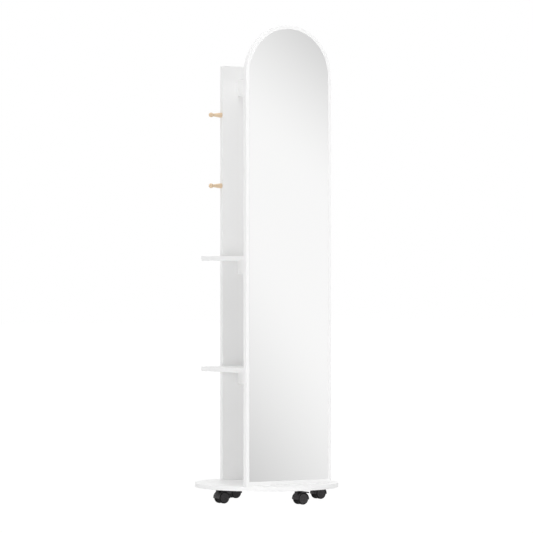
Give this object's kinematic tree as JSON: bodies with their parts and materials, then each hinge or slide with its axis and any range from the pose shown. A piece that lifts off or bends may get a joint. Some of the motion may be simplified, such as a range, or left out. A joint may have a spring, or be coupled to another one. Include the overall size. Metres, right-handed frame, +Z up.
{
  "type": "revolving mirror wardrobe",
  "caption": "Free-standing hall stand with a full-length arched mirror, shelves and coat pegs on a round base with swivel casters.",
  "frame": {"origin": "on the floor under the centre of the round base", "axes": "+Z up, -Y is the way the mirror faces, +X to the right seen from the front"},
  "size_m": [0.4999, 0.5, 1.6498],
  "materials": {
    "white_board": "satin white melamine on fibreboard",
    "mirror_silver": "silvered glass",
    "foam_tape": "white foam tape",
    "turned_beech": "clear satin lacquer",
    "dowel_beech": "bare fluted dowel",
    "zinc_steel": "zinc plated",
    "black_steel": "black powder coat",
    "black_nylon": "moulded black nylon"
  },
  "bodies": {
    "cabinet": {"base_disc": "white_board", "mirror_panel": "white_board", "mirror_glass": "mirror_silver", "mirror_tape": "foam_tape", "back_panel": "white_board", "lower_shelf": "white_board", "upper_shelf": "white_board", "lower_shelf_rail": "white_board", "upper_shelf_rail": "white_board", "top_rail": "white_board", "left_upper_peg": "turned_beech", "left_lower_peg": "turned_beech", "right_upper_peg": "turned_beech", "right_lower_peg": "turned_beech", "peg_screws": "zinc_steel", "cam_pins": "zinc_steel", "cam_locks": "zinc_steel", "wood_dowels": "dowel_beech", "base_screws": "zinc_steel", "caster_screws": "zinc_steel", "thrust_washers": "zinc_steel", "left_caster_plate": "black_steel", "left_caster_kingpin": "zinc_steel", "front_caster_plate": "black_steel", "front_caster_kingpin": "zinc_steel", "right_caster_plate": "black_steel", "right_caster_kingpin": "zinc_steel", "back_caster_plate": "black_steel", "back_caster_kingpin": "zinc_steel"},
    "left_swivel": {"left_caster_housing": "black_nylon", "left_caster_axle": "zinc_steel"},
    "left_near_wheel": {"left_caster_near_wheel": "black_nylon"},
    "left_far_wheel": {"left_caster_far_wheel": "black_nylon"},
    "front_swivel": {"front_caster_housing": "black_nylon", "front_caster_axle": "zinc_steel"},
    "front_near_wheel": {"front_caster_near_wheel": "black_nylon"},
    "front_far_wheel": {"front_caster_far_wheel": "black_nylon"},
    "right_swivel": {"right_caster_housing": "black_nylon", "right_caster_axle": "zinc_steel"},
    "right_near_wheel": {"right_caster_near_wheel": "black_nylon"},
    "right_far_wheel": {"right_caster_far_wheel": "black_nylon"},
    "back_swivel": {"back_caster_housing": "black_nylon", "back_caster_axle": "zinc_steel"},
    "back_near_wheel": {"back_caster_near_wheel": "black_nylon"},
    "back_far_wheel": {"back_caster_far_wheel": "black_nylon"}
  },
  "joints": [
    {"name": "left_swivel_turn", "type": "hinge", "parent": "cabinet", "child": "left_swivel", "pos_m": [-0.2005, 0, 0.04], "axis": [0, 0, 1], "continuous": true},
    {"name": "left_near_wheel_spin", "type": "hinge", "parent": "left_swivel", "child": "left_near_wheel", "pos_m": [-0.1845, 0, 0.02], "axis": [0, 1, 0], "continuous": true},
    {"name": "left_far_wheel_spin", "type": "hinge", "parent": "left_swivel", "child": "left_far_wheel", "pos_m": [-0.1845, 0, 0.02], "axis": [0, 1, 0], "continuous": true},
    {"name": "front_swivel_turn", "type": "hinge", "parent": "cabinet", "child": "front_swivel", "pos_m": [0, -0.1905, 0.04], "axis": [0, 0, 1], "continuous": true},
    {"name": "front_near_wheel_spin", "type": "hinge", "parent": "front_swivel", "child": "front_near_wheel", "pos_m": [0.016, -0.1905, 0.02], "axis": [0, 1, 0], "continuous": true},
    {"name": "front_far_wheel_spin", "type": "hinge", "parent": "front_swivel", "child": "front_far_wheel", "pos_m": [0.016, -0.1905, 0.02], "axis": [0, 1, 0], "continuous": true},
    {"name": "right_swivel_turn", "type": "hinge", "parent": "cabinet", "child": "right_swivel", "pos_m": [0.2005, 0, 0.04], "axis": [0, 0, 1], "continuous": true},
    {"name": "right_near_wheel_spin", "type": "hinge", "parent": "right_swivel", "child": "right_near_wheel", "pos_m": [0.2165, 0, 0.02], "axis": [0, 1, 0], "continuous": true},
    {"name": "right_far_wheel_spin", "type": "hinge", "parent": "right_swivel", "child": "right_far_wheel", "pos_m": [0.2165, 0, 0.02], "axis": [0, 1, 0], "continuous": true},
    {"name": "back_swivel_turn", "type": "hinge", "parent": "cabinet", "child": "back_swivel", "pos_m": [0, 0.1905, 0.04], "axis": [0, 0, 1], "continuous": true},
    {"name": "back_near_wheel_spin", "type": "hinge", "parent": "back_swivel", "child": "back_near_wheel", "pos_m": [-0.016, 0.1905, 0.02], "axis": [0, 1, 0], "continuous": true},
    {"name": "back_far_wheel_spin", "type": "hinge", "parent": "back_swivel", "child": "back_far_wheel", "pos_m": [-0.016, 0.1905, 0.02], "axis": [0, 1, 0], "continuous": true}
  ]
}
